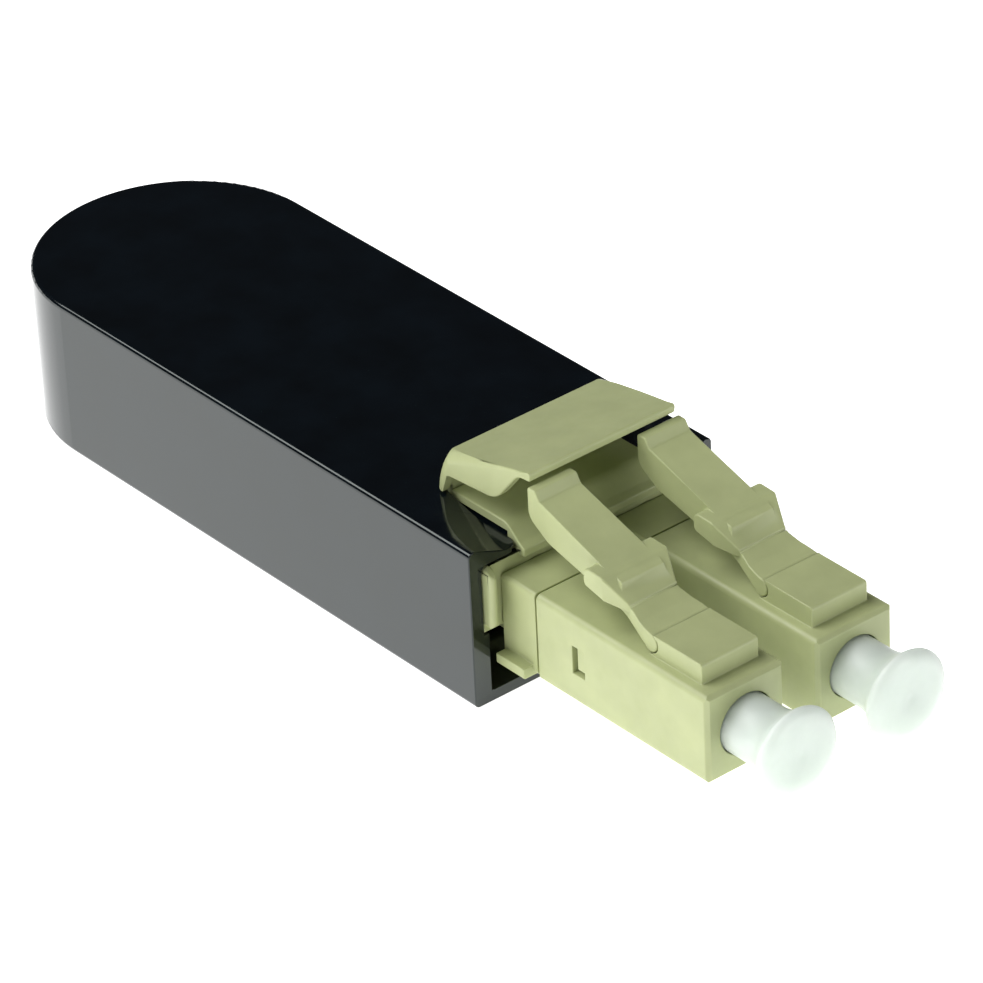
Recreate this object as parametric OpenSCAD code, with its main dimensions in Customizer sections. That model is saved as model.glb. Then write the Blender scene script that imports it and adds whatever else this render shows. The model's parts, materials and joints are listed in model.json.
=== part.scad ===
// Duplex fibre loopback plug.
// Two snap-in fibre connectors sit side by side in a moulded clip with one release
// trigger over both latches. The clip is held in the open front of a D-shaped shell,
// and a loop of buffered fibre inside the shell joins one ferrule to the other.
//
// X runs forward to the ferrules, Y across the pair and Z up. The origin lies on the
// plane that the shell stands on, under the middle of the whole plug. Sizes are in
// millimetres and angles in degrees.

/* [Connector pair] */
// Distance between the two connector axes
pitch = 6.25; // [6:0.05:7]
// Width and height of the square connector nose
body_w = 4.4; // [4.2:0.05:4.8]
// Length of the front body, from its back end to its nose
body_len = 11.05; // [10:0.05:13]
// Rounding of the front body's long edges
body_edge_r = 0.3; // [0.1:0.05:0.6]
// Bevel round the front end of the nose
nose_bevel = 0.2; // [0.05:0.05:0.4]
// Bore in the nose that the mating sleeve and the dust cap enter
nose_bore_d = 2.95; // [2.9:0.05:3.2]
// Depth of that bore
nose_bore_depth = 2.3; // [2:0.1:2.6]
// Wall of the socket in the back of the front body
socket_wall = 0.5; // [0.4:0.05:0.6]
// Depth of that socket
socket_depth = 4.1; // [3.8:0.1:4.6]

/* [Ferrule] */
// Ferrule diameter
ferrule_d = 1.25; // [1.2:0.01:1.4]
// How far the ferrule stands out of the nose
ferrule_out = 1.8; // [1.4:0.1:2.2]
// Ferrule length
ferrule_len = 6.4; // [6:0.1:7]
// Hexagonal head of the ferrule holder, across its flats
holder_flats = 2.4; // [2.2:0.05:2.6]
// Length of that head
holder_head_len = 1.5; // [1.2:0.1:1.8]
// Outside diameter of the holder's tail tube
tail_d = 1.4; // [1.3:0.05:1.5]
// Length of that tube
tail_len = 7.2; // [6.6:0.1:7.6]
// How far the spring lets the ferrule move back
ferrule_float = 0.6; // [0.3:0.1:0.8]
// Outside diameter of the ferrule spring
spring_d = 2.3; // [2.2:0.05:2.4]
// Wire diameter of the ferrule spring
spring_wire = 0.3; // [0.2:0.02:0.36]
// Turns of the ferrule spring
spring_turns = 7; // [5:1:9]

/* [Latch] */
// Width of the latch where it grows out of the nose
latch_root_w = 3.2; // [2.8:0.1:3.6]
// Height of the latch root above the nose
latch_root_h = 1; // [0.8:0.05:1.2]
// Gap from the nose's front face to the latch root
latch_setback = 0.95; // [0.6:0.05:1.4]
// Length of the root, from its front face to the flexing line
latch_root_len = 3.3; // [2.8:0.1:3.8]
// Width of the latch arm's beam
arm_w = 2.4; // [2:0.1:2.8]
// Width across the two catch ears
ear_w = 3.7; // [3.4:0.1:4.2]
// Length of a catch ear
ear_len = 1.2; // [1:0.1:1.6]
// Distance from the flexing line back to the ears
ear_back = 2.75; // [2.6:0.05:3.2]
// Height of the arm's tail above the nose
tail_h = 4.37; // [4.1:0.01:4.4]

/* [Back body] */
// Width and height of the collar between the clip and the front body
collar_w = 4.2; // [4:0.05:4.3]
// Length of the collar
collar_len = 2.25; // [1.8:0.05:2.5]
// Groove between the collar and the front body
collar_groove = 0.2; // [0.1:0.05:0.3]
// Diameter of the round waist that the clip grips
waist_d = 4; // [3.8:0.05:4.1]
// Diameter of the post at the back
post_d = 2.6; // [2.4:0.1:3]
// Length of the post
post_len = 3; // [2:0.5:5]
// How far the collar's foot ledges stand out
foot_out = 0.6; // [0.4:0.05:0.8]
// Thickness of the foot ledges
foot_t = 0.55; // [0.4:0.05:0.7]

/* [Clip] */
// Length of the clip that reaches back into the shell
clip_depth = 4.6; // [4:0.1:6]
// How far the lips at the clip's sides stand out of the shell
lip_out = 0.5; // [0.3:0.05:0.7]
// Thickness of those lips
lip_t = 0.4; // [0.3:0.05:0.5]
// Wall of the clip outside the connectors
clip_side = 0.98; // [0.8:0.02:1.1]
// Thickness of the clip above the connectors' collars
clip_roof = 0.7; // [0.6:0.05:0.9]
// How far the clip's jaws reach below the connector axes
jaw_drop = 0.55; // [0.4:0.05:0.8]
// Rounding of the clip's upper long edges
clip_edge_r = 0.35; // [0.2:0.05:0.6]
// Width of the leaf that carries the trigger
leaf_w = 8.2; // [7.6:0.1:8.4]
// Thickness of the leaf
leaf_t = 0.45; // [0.4:0.05:0.55]

/* [Trigger] */
// Width of the trigger plate
trigger_w = 9.3; // [8.8:0.05:9.6]
// Thickness of the trigger's walls
trigger_t = 0.45; // [0.35:0.05:0.55]
// Angle by which each side of the trigger draws in towards the front
trigger_taper = 5.5; // [4:0.5:7]
// Length of the trigger plate
trigger_len = 5.3; // [5:0.1:5.5]
// Slope of the trigger plate, rising to the front
trigger_slope = 11; // [9:0.5:11.5]
// Height of the plate's back edge above the leaf
trigger_h = 2.3; // [2.1:0.05:2.5]
// Depth of the side flanges below the plate
flange_h = 1.15; // [1:0.05:1.4]
// Rounding between the plate and its flanges
flange_r = 0.6; // [0.4:0.05:0.8]
// Radius of the trigger's bent back
bend_r = 4.1; // [3.8:0.1:4.4]

/* [Shell] */
// Length of the shell, from its open front to the back of its round end
shell_len = 36.5; // [32:0.5:45]
// Side wall of the shell
shell_side = 0.69; // [0.6:0.01:1]
// Top wall of the shell
shell_roof = 0.95; // [0.9:0.05:1.3]
// Bottom wall of the shell
shell_floor = 0.6; // [0.5:0.05:1]
// Rounding of the shell's outer edges
shell_edge_r = 0.25; // [0.1:0.05:0.4]
// Space between the shell's floor and the connectors
under_gap = 1.35; // [1:0.05:1.6]
// Width of the rails in the shell that the clip's jaws rest on
rail_w = 0.28; // [0.2:0.02:0.4]
// Depth of the finger scoop in the top wall
scoop_depth = 0.6; // [0.4:0.05:0.7]
// How far the scoop's sloping side runs in from its rim
scoop_run = 1.6; // [1.2:0.1:2]

/* [Fibre] */
// Outside diameter of the buffered fibre
fibre_d = 0.9; // [0.6:0.05:0.95]
// Bend radius of the loop at the round end
loop_r = 5; // [4.6:0.1:5.4]
// Bend radius where the fibre spreads out behind the connectors
spread_r = 12; // [10:1:14]
// Outside diameter of the guide tube on the fibre
guide_d = 1.5; // [1.4:0.05:1.7]
// Length of the guide tube
guide_len = 6; // [4:0.5:8]

/* [Dust caps] */
// Diameter of the cap's barrel
cap_barrel_d = 2.85; // [2.6:0.05:2.85]
// Diameter of the flared grip
cap_flare_d = 4.4; // [4:0.1:5.2]
// How far the cap stands out of the nose
cap_out = 3.5; // [3:0.1:5]
// How far the barrel reaches into the nose
cap_in = 1.9; // [1.2:0.1:1.95]

/* [Clearances] */
// Slip fit between moulded pieces
slip = 0.05; // [0.03:0.01:0.08]
// Running fit of round moving pieces, on the radius
run_fit = 0.05; // [0.03:0.01:0.08]

/* [Hidden] */
$fn = 64;
eps = 0.01;

// connector A is on the -Y side, connector B on the +Y side
A = -1;
B = 1;

BEIGE = [0.72, 0.76, 0.60];
BLACK = [0.05, 0.05, 0.055];
CAP_WHITE = [0.92, 0.96, 0.94];
CERAMIC = [0.95, 0.94, 0.90];
METAL = [0.72, 0.70, 0.66];
STEEL = [0.60, 0.61, 0.63];
JACKET = [0.90, 0.48, 0.12];
TUBE = [0.88, 0.88, 0.85];

// heights, from the shell's bottom face
axis_z = shell_floor + under_gap + body_w / 2;
clip_top_z = axis_z + collar_w / 2 + slip + clip_roof;
cavity_top_z = clip_top_z + slip;
shell_h = cavity_top_z + shell_roof;
jaw_z = axis_z - jaw_drop;
lip_z = axis_z - 0.08;

// widths
clip_w = pitch + collar_w + 2 * (slip + clip_side);
cavity_w = clip_w + 2 * slip;
shell_w = cavity_w + 2 * shell_side;

// places along X, from the shell's open front
clip_face_x = -0.1;
collar_x = clip_face_x + slip;
body_x = collar_x + collar_len + collar_groove;
nose_x = body_x + body_len;
flex_x = nose_x - latch_setback - latch_root_len;
front_x = (shell_len - nose_x - cap_out) / 2;
loop_x = -shell_len + shell_w / 2;

// the ferrule and its holder
seat_wall = 0.5;
bore_end_x = nose_x - nose_bore_depth;
head_front_x = bore_end_x - seat_wall;
head_back_x = head_front_x - holder_head_len;
ferrule_tip_x = nose_x + ferrule_out;
ferrule_back_x = ferrule_tip_x - ferrule_len;
tail_back_x = head_back_x - tail_len;
holder_bore_d = fibre_d + 2 * run_fit;
chamber_d = holder_flats / cos(30) + 2 * run_fit;

// the back body's snout in the front body's socket
socket_w = body_w - 2 * socket_wall;
socket_end_x = body_x + socket_depth;
snout_w = socket_w - 2 * slip;
snout_end_x = socket_end_x - 0.2;
spring_seat_x = body_x + 0.6;
back_flange_t = 0.6;
back_flange_x = -clip_depth - slip - back_flange_t;
post_back_x = back_flange_x - post_len;
guide_seat = 2;
guide_back_x = post_back_x + guide_seat - guide_len;

// snap windows in the front body's sides, and the teeth that fill them
window_len = 0.8;
window_h = 1.4;
window_x = body_x + 2.3;
tooth_gap = 0.24;

// latch arm, from the flexing line and the level of the nose's top face; its tail ends
// under the trigger's front edge
roll_gap = 0.1;
roll_r = (latch_root_h - roll_gap) / 2;
roll_z = latch_root_h - roll_r;
step_back = 1.85;
step_run = 0.35;
step_h = 0.75;
step_z = 1.6;
arm_front_t = 0.75;
arm_dip = 1.5;
arm_corner_r = 0.12;
tail_lip_len = 0.8;
tail_lip_top = 0.5;
tail_lip_h = 0.45;
waist_x = -2.6;
root_full_x = 0.2;

// finger scoop in the shell's top wall, and the pocket in it for the leaf
scoop_rim_r = shell_w / 2 - 0.35;
scoop_x = 0.4;
scoop_floor_z = shell_h - scoop_depth;
pocket_gap = 0.15;
neck_back = 0.9;
notch_r = 0.6;

// leaf and trigger
leaf_under_z = scoop_floor_z + pocket_gap;
leaf_top_z = leaf_under_z + leaf_t;
hinge_r = trigger_t / 2;
root_w = leaf_w - 0.3;
hinge_z = leaf_under_z + leaf_t / 2;
plate_back_x = -4.3;
plate_back_z = leaf_top_z + trigger_h;
plate_run = trigger_len * cos(trigger_slope);
plate_rise = trigger_len * sin(trigger_slope);
plate_front_x = plate_back_x + plate_run;
plate_front_z = plate_back_z + plate_rise;
rounding_runout = 6;
arm_len = flex_x - plate_front_x;
bend_z = hinge_z;
bend_x = plate_back_x + sqrt(pow(bend_r, 2) - pow(plate_back_z - bend_z, 2));
hinge_x = bend_x - bend_r + trigger_t / 2;

// fibre route, from just behind the ferrule to the loop behind the guide tubes
fibre_front_x = ferrule_back_x - ferrule_float - 0.2;
spread_x = guide_back_x - 1;
spread_angle = acos(1 - (loop_r - pitch / 2) / (2 * spread_r));
spread_len = 2 * spread_r * sin(spread_angle);

// ---- helpers ----

// place children at the shell's open front, on its bottom face
module at_front() {
    translate([front_x, 0, 0]) children();
}

// place children at the shell's open front, on one connector's axis
module at_connector(side) {
    translate([front_x, side * pitch / 2, axis_z]) children();
}

// solid disc or tube blank along X, from x0 to x1
module round_bar(x0, x1, d) {
    translate([x0, 0, 0]) rotate([0, 90, 0]) cylinder(d = d, h = x1 - x0);
}

// rod along Y, centred on Y = 0
module cross_rod(x, z, r, w) {
    translate([x, 0, z]) rotate([90, 0, 0]) cylinder(r = r, h = w, center = true);
}

// rectangle with four rounded corners, centred
module rounded_rect(w, h, r) {
    square([w - 2 * r, h], center = true);
    square([w, h - 2 * r], center = true);
    for (x = [-1, 1], y = [-1, 1])
        translate([x * (w / 2 - r), y * (h / 2 - r)]) circle(r = r);
}

// arc that rounds the corner b between a and c to radius r
function rounded_corner(a, b, c, r) =
    let (u = (a - b) / norm(a - b), v = (c - b) / norm(c - b),
         half = acos(max(-1, min(1, u * v))) / 2, m = (u + v) / norm(u + v),
         o = b + m * r / sin(half), p = b + u * r / tan(half) - o,
         turn = 180 - 2 * half, s = sign(cross(u, v)), n = max(2, ceil(turn / 18)))
    [for (k = [0:n]) let (t = s * turn * k / n)
        o + [p[0] * cos(t) + p[1] * sin(t), p[1] * cos(t) - p[0] * sin(t)]];

// outline from points [x, y, r], each corner rounded to its own radius
function rounded_outline(pts) = let (n = len(pts), xy = [for (q = pts) [q[0], q[1]]])
    [for (i = [0:n - 1]) each pts[i][2] > 0
        ? rounded_corner(xy[(i + n - 1) % n], xy[i], xy[(i + 1) % n], pts[i][2])
        : [xy[i]]];

// outline of a plan that is the same on both sides of Y = 0
function both_sides(half) =
    concat(half, [for (i = [len(half) - 1:-1:0]) [half[i][0], -half[i][1]]]);

// extrude a Y-Z outline along X, from x0 to x1
module along_x(x0, x1) {
    translate([x0, 0, 0]) rotate([90, 0, 90]) linear_extrude(x1 - x0) children();
}

// extrude an X-Z outline along Y, centred on Y = 0
module across_y(w) {
    rotate([90, 0, 0]) linear_extrude(w, center = true) children();
}

// ---- shell ----

// outline of half the shell's section, on the +Y side
module half_section(w, z0, z1, r) {
    intersection() {
        translate([0, (z0 + z1) / 2]) rounded_rect(w, z1 - z0, r);
        translate([0, z0]) square([w / 2, z1 - z0]);
    }
}

// D-shaped block: straight sides, and a half-round end centred at x_end
module d_block(x_end, x_front, w, z0, z1, r) {
    along_x(x_end, x_front) translate([0, (z0 + z1) / 2]) rounded_rect(w, z1 - z0, r);
    translate([x_end, 0, 0]) rotate([0, 0, 90]) rotate_extrude(angle = 180, $fn = 128)
        half_section(w, z0, z1, r);
}

// shallow dish in the top wall, open to the front, for a fingertip on the trigger
module scoop() {
    rim = scoop_rim_r;
    floor_r = rim - scoop_run;
    over = 1;
    slope_out = over * scoop_run / scoop_depth;
    translate([scoop_x, 0, scoop_floor_z])
        cylinder(r1 = floor_r, r2 = rim + slope_out, h = scoop_depth + over, $fn = 128);
}

// pocket in the scoop for the leaf, and the notch that its neck stands in, which
// opens in a curve towards the front
module leaf_pocket() {
    w = leaf_w + 2 * pocket_gap;
    back = hinge_x - trigger_t / 2 - 2 * pocket_gap;
    notch_w = leaf_w / 2 + slip;
    translate([back / 2 + eps, 0, scoop_floor_z]) linear_extrude(shell_h)
        rounded_rect(-back, w, 0.5);
    translate([0, 0, cavity_top_z - 1]) linear_extrude(shell_h) polygon(both_sides(rounded_outline([
        [-neck_back - slip, 0, 0], [1, 0, 0], [1, notch_w + 2, 0], [0, notch_w + 2, 0],
        [0, notch_w, notch_r], [-neck_back - slip, notch_w, 0]
    ])));
}

// snap ridges on the clip's sides
snap_x = -3.4;
snap_len = 0.8;
snap_out = 0.25;
snap_z = jaw_z + 0.9;
snap_h = 1.2;

// snap ridges on the clip's sides, or their pockets in the shell when grown
module snap_ridges(grow) {
    for (side = [0, 1]) mirror([0, side, 0])
        translate([snap_x - grow, clip_w / 2 - eps, snap_z - grow])
        cube([snap_len + 2 * grow, snap_out + grow + eps, snap_h + 2 * grow]);
}

// rails along the shell's side walls, under the clip's jaws
module rails() {
    h = jaw_z - slip - shell_floor + eps;
    for (side = [0, 1]) mirror([0, side, 0])
        translate([-clip_depth, cavity_w / 2 - rail_w, shell_floor - eps])
        cube([clip_depth, rail_w + eps, h]);
}

module shell() {
    color(BLACK) at_front() difference() {
        union() {
            difference() {
                d_block(loop_x, 0, shell_w, 0, shell_h, shell_edge_r);
                d_block(loop_x, 1, cavity_w, shell_floor, cavity_top_z, clip_edge_r);
            }
            rails();
        }
        scoop();
        leaf_pocket();
        snap_ridges(slip);
    }
}

// ---- clip and trigger ----

// neck and leaf, seen from the side: a concave rise over the shell's front edge
module leaf_outline() {
    brow_x = 0.25;
    brow_z = clip_top_z - 0.3;
    polygon(rounded_outline([
        [-neck_back, brow_z, 0], [brow_x, brow_z, 0], [brow_x, clip_top_z + 0.1, 0.12],
        [-0.1, clip_top_z + 0.3, 0.7], [-neck_back, leaf_top_z, 0.9], [hinge_x, leaf_top_z, 0],
        [hinge_x, leaf_under_z, 0], [-neck_back, leaf_under_z, 0]
    ]));
}

// the clip's section: rounded on top, and cut off flat at height z0
module clip_section(z0) {
    intersection() {
        translate([0, clip_top_z / 2]) rounded_rect(clip_w, clip_top_z, clip_edge_r);
        translate([-clip_w, z0]) square([2 * clip_w, shell_h]);
    }
}

// lips at the clip's sides, in front of the shell: rounded in front and drawn back on top
module side_lips() {
    over = 0.5;
    y1 = clip_w / 2;
    y0 = y1 - lip_t;
    for (side = [0, 1]) mirror([0, side, 0]) intersection() {
        along_x(clip_face_x - over, lip_out) clip_section(lip_z);
        linear_extrude(shell_h) polygon(rounded_outline([
            [clip_face_x - over, y0, 0], [lip_out, y0, 0.1],
            [lip_out, y1, 0.25], [clip_face_x - over, y1, 0]
        ]));
        across_y(2 * clip_w) polygon(rounded_outline([
            [clip_face_x - over, lip_z, 0], [lip_out, lip_z, 0.15], [lip_out, clip_top_z - 0.3, 0.5],
            [clip_face_x, clip_top_z + 0.1, 0], [clip_face_x - over, clip_top_z + 0.1, 0]
        ]));
    }
}

module duplex_clip() {
    color(BEIGE) at_front() difference() {
        union() {
            along_x(-clip_depth, clip_face_x) clip_section(jaw_z);
            across_y(leaf_w) leaf_outline();
            side_lips();
            snap_ridges(0);
        }
        for (side = [A, B]) translate([0, side * pitch / 2, axis_z])
            round_bar(-clip_depth - 1, 1, waist_d + 2 * slip);
        cross_rod(hinge_x, hinge_z, hinge_r + run_fit, leaf_w + 1);
        translate([hinge_x - 1, -leaf_w, hinge_z])
            cube([1 + hinge_r + 2 * run_fit, 2 * leaf_w, leaf_t]);
    }
}

// outer side view of the trigger: back wall, sloping plate and hanging flanges
module trigger_outline() {
    over = 2;
    under = plate_front_z - trigger_t;
    flange_z = plate_back_z - flange_h;
    polygon(rounded_outline([
        [plate_back_x - over, hinge_z, 0],
        [plate_back_x - over, plate_back_z - over * tan(trigger_slope), 0],
        [plate_front_x, plate_front_z, 0.12], [plate_front_x, under, 0.12],
        [plate_front_x - 0.75, under, 0.6], [plate_front_x - 2.1, flange_z, 1],
        [plate_back_x + 0.1, flange_z, 0.3],
        [hinge_x + trigger_t, leaf_top_z + 0.3, 0], [hinge_x + hinge_r, hinge_z, 0]
    ]));
}

// room ahead of the bent back, of outer radius r
module bend_disc(r) {
    translate([bend_x, bend_z]) circle(r = r, $fn = 128);
    translate([bend_x, bend_z - r]) square([4 * r, 3 * r]);
}

// hollow under the plate, between the flanges and ahead of the back wall
module trigger_hollow() {
    under = plate_back_z - trigger_t / cos(trigger_slope);
    intersection() {
        bend_disc(bend_r - trigger_t);
        translate([plate_back_x, under]) rotate(trigger_slope)
            translate([-10, -20]) square([30, 20]);
    }
}

// plan of the hollow, a wall's thickness inside the tapered sides
module hollow_plan() {
    half = trigger_w / 2 - trigger_t;
    reach = trigger_len + 1;
    linear_extrude(2 * shell_h) polygon(both_sides([
        [plate_back_x - 2, half], [plate_back_x, half],
        [plate_back_x + reach, half - reach * tan(trigger_taper)]
    ]));
}

// envelope of one side of the plate: it draws in towards the front, and rounds the long
// edge less and less on the way there
module side_rounding(side) {
    translate([plate_back_x, side * trigger_w / 2, plate_back_z])
        rotate([0, -trigger_slope - rounding_runout, 0]) rotate([0, 0, -side * trigger_taper])
        along_x(-4, trigger_len + 4) translate([-side * trigger_w, -5])
        rounded_rect(2 * trigger_w, 10, flange_r);
}

module bent_back_rounding() {
    translate([bend_x, 0, bend_z]) rotate([90, 0, 0]) rotate_extrude($fn = 128)
        half_section(2 * bend_r, -trigger_w / 2, trigger_w / 2, flange_r);
    translate([bend_x, -trigger_w, bend_z - bend_r])
        cube([4 * bend_r, 2 * trigger_w, 3 * bend_r]);
}

// near the leaf's level the back wall is narrower than the leaf
module root_relief() {
    for (side = [0, 1]) mirror([0, side, 0])
        translate([hinge_x - 2, root_w / 2, hinge_z - 1])
        cube([4, trigger_w, leaf_top_z + pocket_gap - hinge_z + 1]);
}

module trigger() {
    color(BEIGE) at_front() {
        difference() {
            intersection() {
                across_y(trigger_w) trigger_outline();
                side_rounding(A);
                side_rounding(B);
                bent_back_rounding();
            }
            intersection() {
                across_y(trigger_w) trigger_hollow();
                hollow_plan();
            }
            root_relief();
        }
        cross_rod(hinge_x, hinge_z, hinge_r, root_w);
    }
}

// ---- front body and latch ----

// side view of a bar with its two front corners bevelled
module nosed_outline() {
    h = body_w / 2;
    polygon([[body_x, -h], [nose_x - nose_bevel, -h], [nose_x, -h + nose_bevel],
             [nose_x, h - nose_bevel], [nose_x - nose_bevel, h], [body_x, h]]);
}

// front body blank: a square bar with rounded long edges and a bevelled nose
module body_blank() {
    intersection() {
        along_x(body_x, nose_x) rounded_rect(body_w, body_w, body_edge_r);
        across_y(body_w + 1) nosed_outline();
        rotate([90, 0, 0]) across_y(body_w + 1) nosed_outline();
    }
}

// half-width of the latch, widening smoothly from the arm to its root
function latch_half_w(x) =
    let (t = max(0, min(1, (x - waist_x) / (root_full_x - waist_x))))
    arm_w / 2 + (latch_root_w - arm_w) / 4 * (1 - cos(180 * t));

// plan of the latch between two places measured from the flexing line
module latch_plan(x0, x1) {
    n = 10;
    polygon(both_sides([for (i = [0:n]) let (x = x0 + (x1 - x0) * i / n)
        [x, latch_half_w(x)]]));
}

// root of the latch, standing on the nose behind its front face
module latch_root() {
    translate([flex_x, 0, body_w / 2 - 0.2]) intersection() {
        across_y(latch_root_w + 1) polygon(rounded_outline([
            [0, 0, 0], [latch_root_len, 0, 0],
            [latch_root_len, latch_root_h + 0.2, 0.15], [0, latch_root_h + 0.2, 0]
        ]));
        linear_extrude(latch_root_h + 1) latch_plan(0, latch_root_len);
    }
}

module snap_windows() {
    for (side = [0, 1]) mirror([0, side, 0])
        translate([window_x, socket_w / 2 - 0.1, -window_h / 2])
        cube([window_len, socket_wall + 1, window_h]);
}

module front_body(side) {
    color(BEIGE) at_connector(side) difference() {
        union() {
            body_blank();
            latch_root();
        }
        round_bar(bore_end_x, nose_x + 1, nose_bore_d);
        round_bar(head_front_x - 1, bore_end_x + 1, ferrule_d + 0.3);
        round_bar(socket_end_x - 1, head_front_x, chamber_d);
        along_x(body_x - 1, socket_end_x) square(socket_w, center = true);
        snap_windows();
        cross_rod(flex_x, body_w / 2 + roll_z, roll_r + run_fit, latch_root_w + 1);
    }
}

// side view of the latch arm: thin behind the root, a step up to the deeper beam,
// and a tail with a low lip under the trigger
module arm_side() {
    c = arm_corner_r;
    polygon(rounded_outline([
        [0, latch_root_h, 0], [-0.8, latch_root_h + 0.15, 0.8], [-step_back, step_z, 0.3],
        [-step_back - step_run, step_z + step_h, c],
        [tail_lip_len - arm_len, tail_h - tail_lip_h, 0.2],
        [tail_lip_top - arm_len, tail_h, c], [-arm_len, tail_h, c],
        [-arm_len, tail_h - arm_dip, 0.8], [1.3 - arm_len, tail_h - arm_dip - 0.8, 0.8],
        [-step_back, step_z - arm_front_t, 0], [-0.8, 0.45, 0], [0, roll_gap, 0]
    ]));
}

// catch ears: a rounded horn on each side of the beam, level with its top, that runs
// down and in to the foot of the step
module ears() {
    back = -ear_back - ear_len;
    top = step_z + step_h + 0.3;
    foot = 0.3 - step_back;
    intersection() {
        across_y(ear_w + 1) polygon(rounded_outline([
            [back, top - 0.9, 0.25], [back, top, 0.35], [-ear_back, top - 0.05, 0.35],
            [foot, step_z - 0.05, 0.2], [foot, step_z - 0.4, 0.1], [-ear_back, top - 1.15, 0.35]
        ]));
        linear_extrude(tail_h) polygon(both_sides([
            [back - 1, ear_w / 2], [-ear_back, ear_w / 2], [foot + eps, latch_half_w(foot)]
        ]));
    }
}

module latch_arm(side) {
    color(BEIGE) at_connector(side)
        translate([flex_x, 0, body_w / 2]) {
            intersection() {
                union() {
                    across_y(ear_w) arm_side();
                    cross_rod(0, roll_z, roll_r, ear_w);
                }
                linear_extrude(tail_h + 1) {
                    latch_plan(waist_x, roll_r);
                    translate([-arm_len, -arm_w / 2]) square([arm_len + waist_x + eps, arm_w]);
                }
            }
            ears();
        }
}

// ---- back body ----

// ledges along the lower edges of the collar
module feet() {
    w = collar_w + 2 * foot_out;
    foot_x = collar_x + 0.15;
    foot_len = collar_len - 0.4;
    intersection() {
        translate([foot_x, -w / 2, -body_w / 2]) cube([foot_len, w, foot_t]);
        along_x(foot_x - 1, body_x) translate([0, 1]) rounded_rect(w, body_w + 2, 0.15);
    }
}

// teeth that snap into the windows: they fill them but for a gap behind and below
module snap_teeth() {
    out = socket_wall + 0.05;
    len = window_len - tooth_gap - slip;
    for (side = [0, 1]) mirror([0, side, 0])
        translate([window_x + tooth_gap, snout_w / 2 - 0.1, -window_h / 2 + tooth_gap])
        linear_extrude(window_h - tooth_gap - slip)
        polygon([[0, 0], [len, 0], [len, out], [0, out]]);
}

module rear_body(side) {
    color(BEIGE) at_connector(side) difference() {
        union() {
            along_x(collar_x + 0.5, snout_end_x) rounded_rect(snout_w, snout_w, 0.3);
            along_x(collar_x, collar_x + collar_len) rounded_rect(collar_w, collar_w, 0.2);
            feet();
            round_bar(back_flange_x, collar_x + 0.5, waist_d);
            along_x(back_flange_x, back_flange_x + back_flange_t)
                rounded_rect(collar_w, collar_w, 0.25);
            round_bar(post_back_x, back_flange_x + back_flange_t, post_d);
            snap_teeth();
        }
        round_bar(spring_seat_x, snout_end_x + 1, spring_d + 4 * run_fit);
        round_bar(tail_back_x - ferrule_float - 0.4, spring_seat_x + 1, tail_d + 2 * run_fit);
        round_bar(post_back_x - 1, tail_back_x, fibre_d + 2 * run_fit);
        round_bar(post_back_x - 1, post_back_x + guide_seat, guide_d + 2 * run_fit);
    }
}

// ---- ferrule, holder and spring ----

module ferrule(side) {
    bevel = 0.15;
    color(CERAMIC) at_connector(side) {
        round_bar(ferrule_back_x, ferrule_tip_x - bevel, ferrule_d);
        translate([ferrule_tip_x - bevel, 0, 0]) rotate([0, 90, 0])
            cylinder(d1 = ferrule_d, d2 = ferrule_d - 2 * bevel, h = bevel);
    }
}

module ferrule_holder(side) {
    color(METAL) at_connector(side) difference() {
        union() {
            translate([head_back_x, 0, 0]) rotate([0, 90, 0])
                cylinder(d = holder_flats / cos(30), h = holder_head_len, $fn = 6);
            round_bar(tail_back_x, head_back_x + 0.5, tail_d);
        }
        round_bar(ferrule_back_x, head_front_x + 1, ferrule_d);
        round_bar(tail_back_x - 1, ferrule_back_x + eps, holder_bore_d);
    }
}

// ring of the spring's wire, a share t of the way along the spring
function wire_ring(t, r, x0, x1) =
    let (a = 360 * spring_turns * t, x = x0 + (x1 - x0) * t, w = spring_wire / 2)
    [for (b = [0:60:300])
        [x + w * sin(b), (r + w * cos(b)) * cos(a), (r + w * cos(b)) * sin(a)]];

// skin of a rod swept through rings that have n points each
module swept_rod(rings, n) {
    last = len(rings) - 1;
    polyhedron([for (q = rings) each q], concat(
        [[for (k = [n - 1:-1:0]) k], [for (k = [0:n - 1]) n * last + k]],
        [for (i = [0:last - 1], k = [0:n - 1])
            [n * i + k, n * i + (k + 1) % n, n * (i + 1) + (k + 1) % n, n * (i + 1) + k]]));
}

module ferrule_spring(side) {
    steps = 14 * spring_turns;
    r = (spring_d - spring_wire) / 2;
    x0 = spring_seat_x + spring_wire / 2;
    x1 = head_back_x - spring_wire / 2;
    color(STEEL) at_connector(side)
        swept_rod([for (i = [0:steps]) wire_ring(i / steps, r, x0, x1)], 6);
}

// ---- fibre ----

module guide_tube(side) {
    color(TUBE) at_connector(side) difference() {
        round_bar(guide_back_x, guide_back_x + guide_len, guide_d);
        round_bar(guide_back_x - 1, guide_back_x + guide_len + 1, fibre_d + 2 * run_fit);
    }
}

// one leg of the fibre's route on the +Y side: straight, then out by two equal bends
function fibre_leg() = concat(
    [[fibre_front_x, pitch / 2], [guide_back_x, pitch / 2]],
    [for (i = [0:4]) let (a = spread_angle * i / 4)
        [spread_x - spread_r * sin(a), pitch / 2 + spread_r * (1 - cos(a))]],
    [for (i = [3:-1:0]) let (a = spread_angle * i / 4)
        [spread_x - spread_len + spread_r * sin(a), loop_r - spread_r * (1 - cos(a))]]);

// the whole route, round the back of the shell from one side to the other
function fibre_route() = let (leg = fibre_leg(), n = len(leg)) concat(
    leg,
    [for (a = [90:9:270]) [loop_x + loop_r * cos(a), loop_r * sin(a)]],
    [for (i = [n - 1:-1:0]) [leg[i][0], -leg[i][1]]]);

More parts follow.
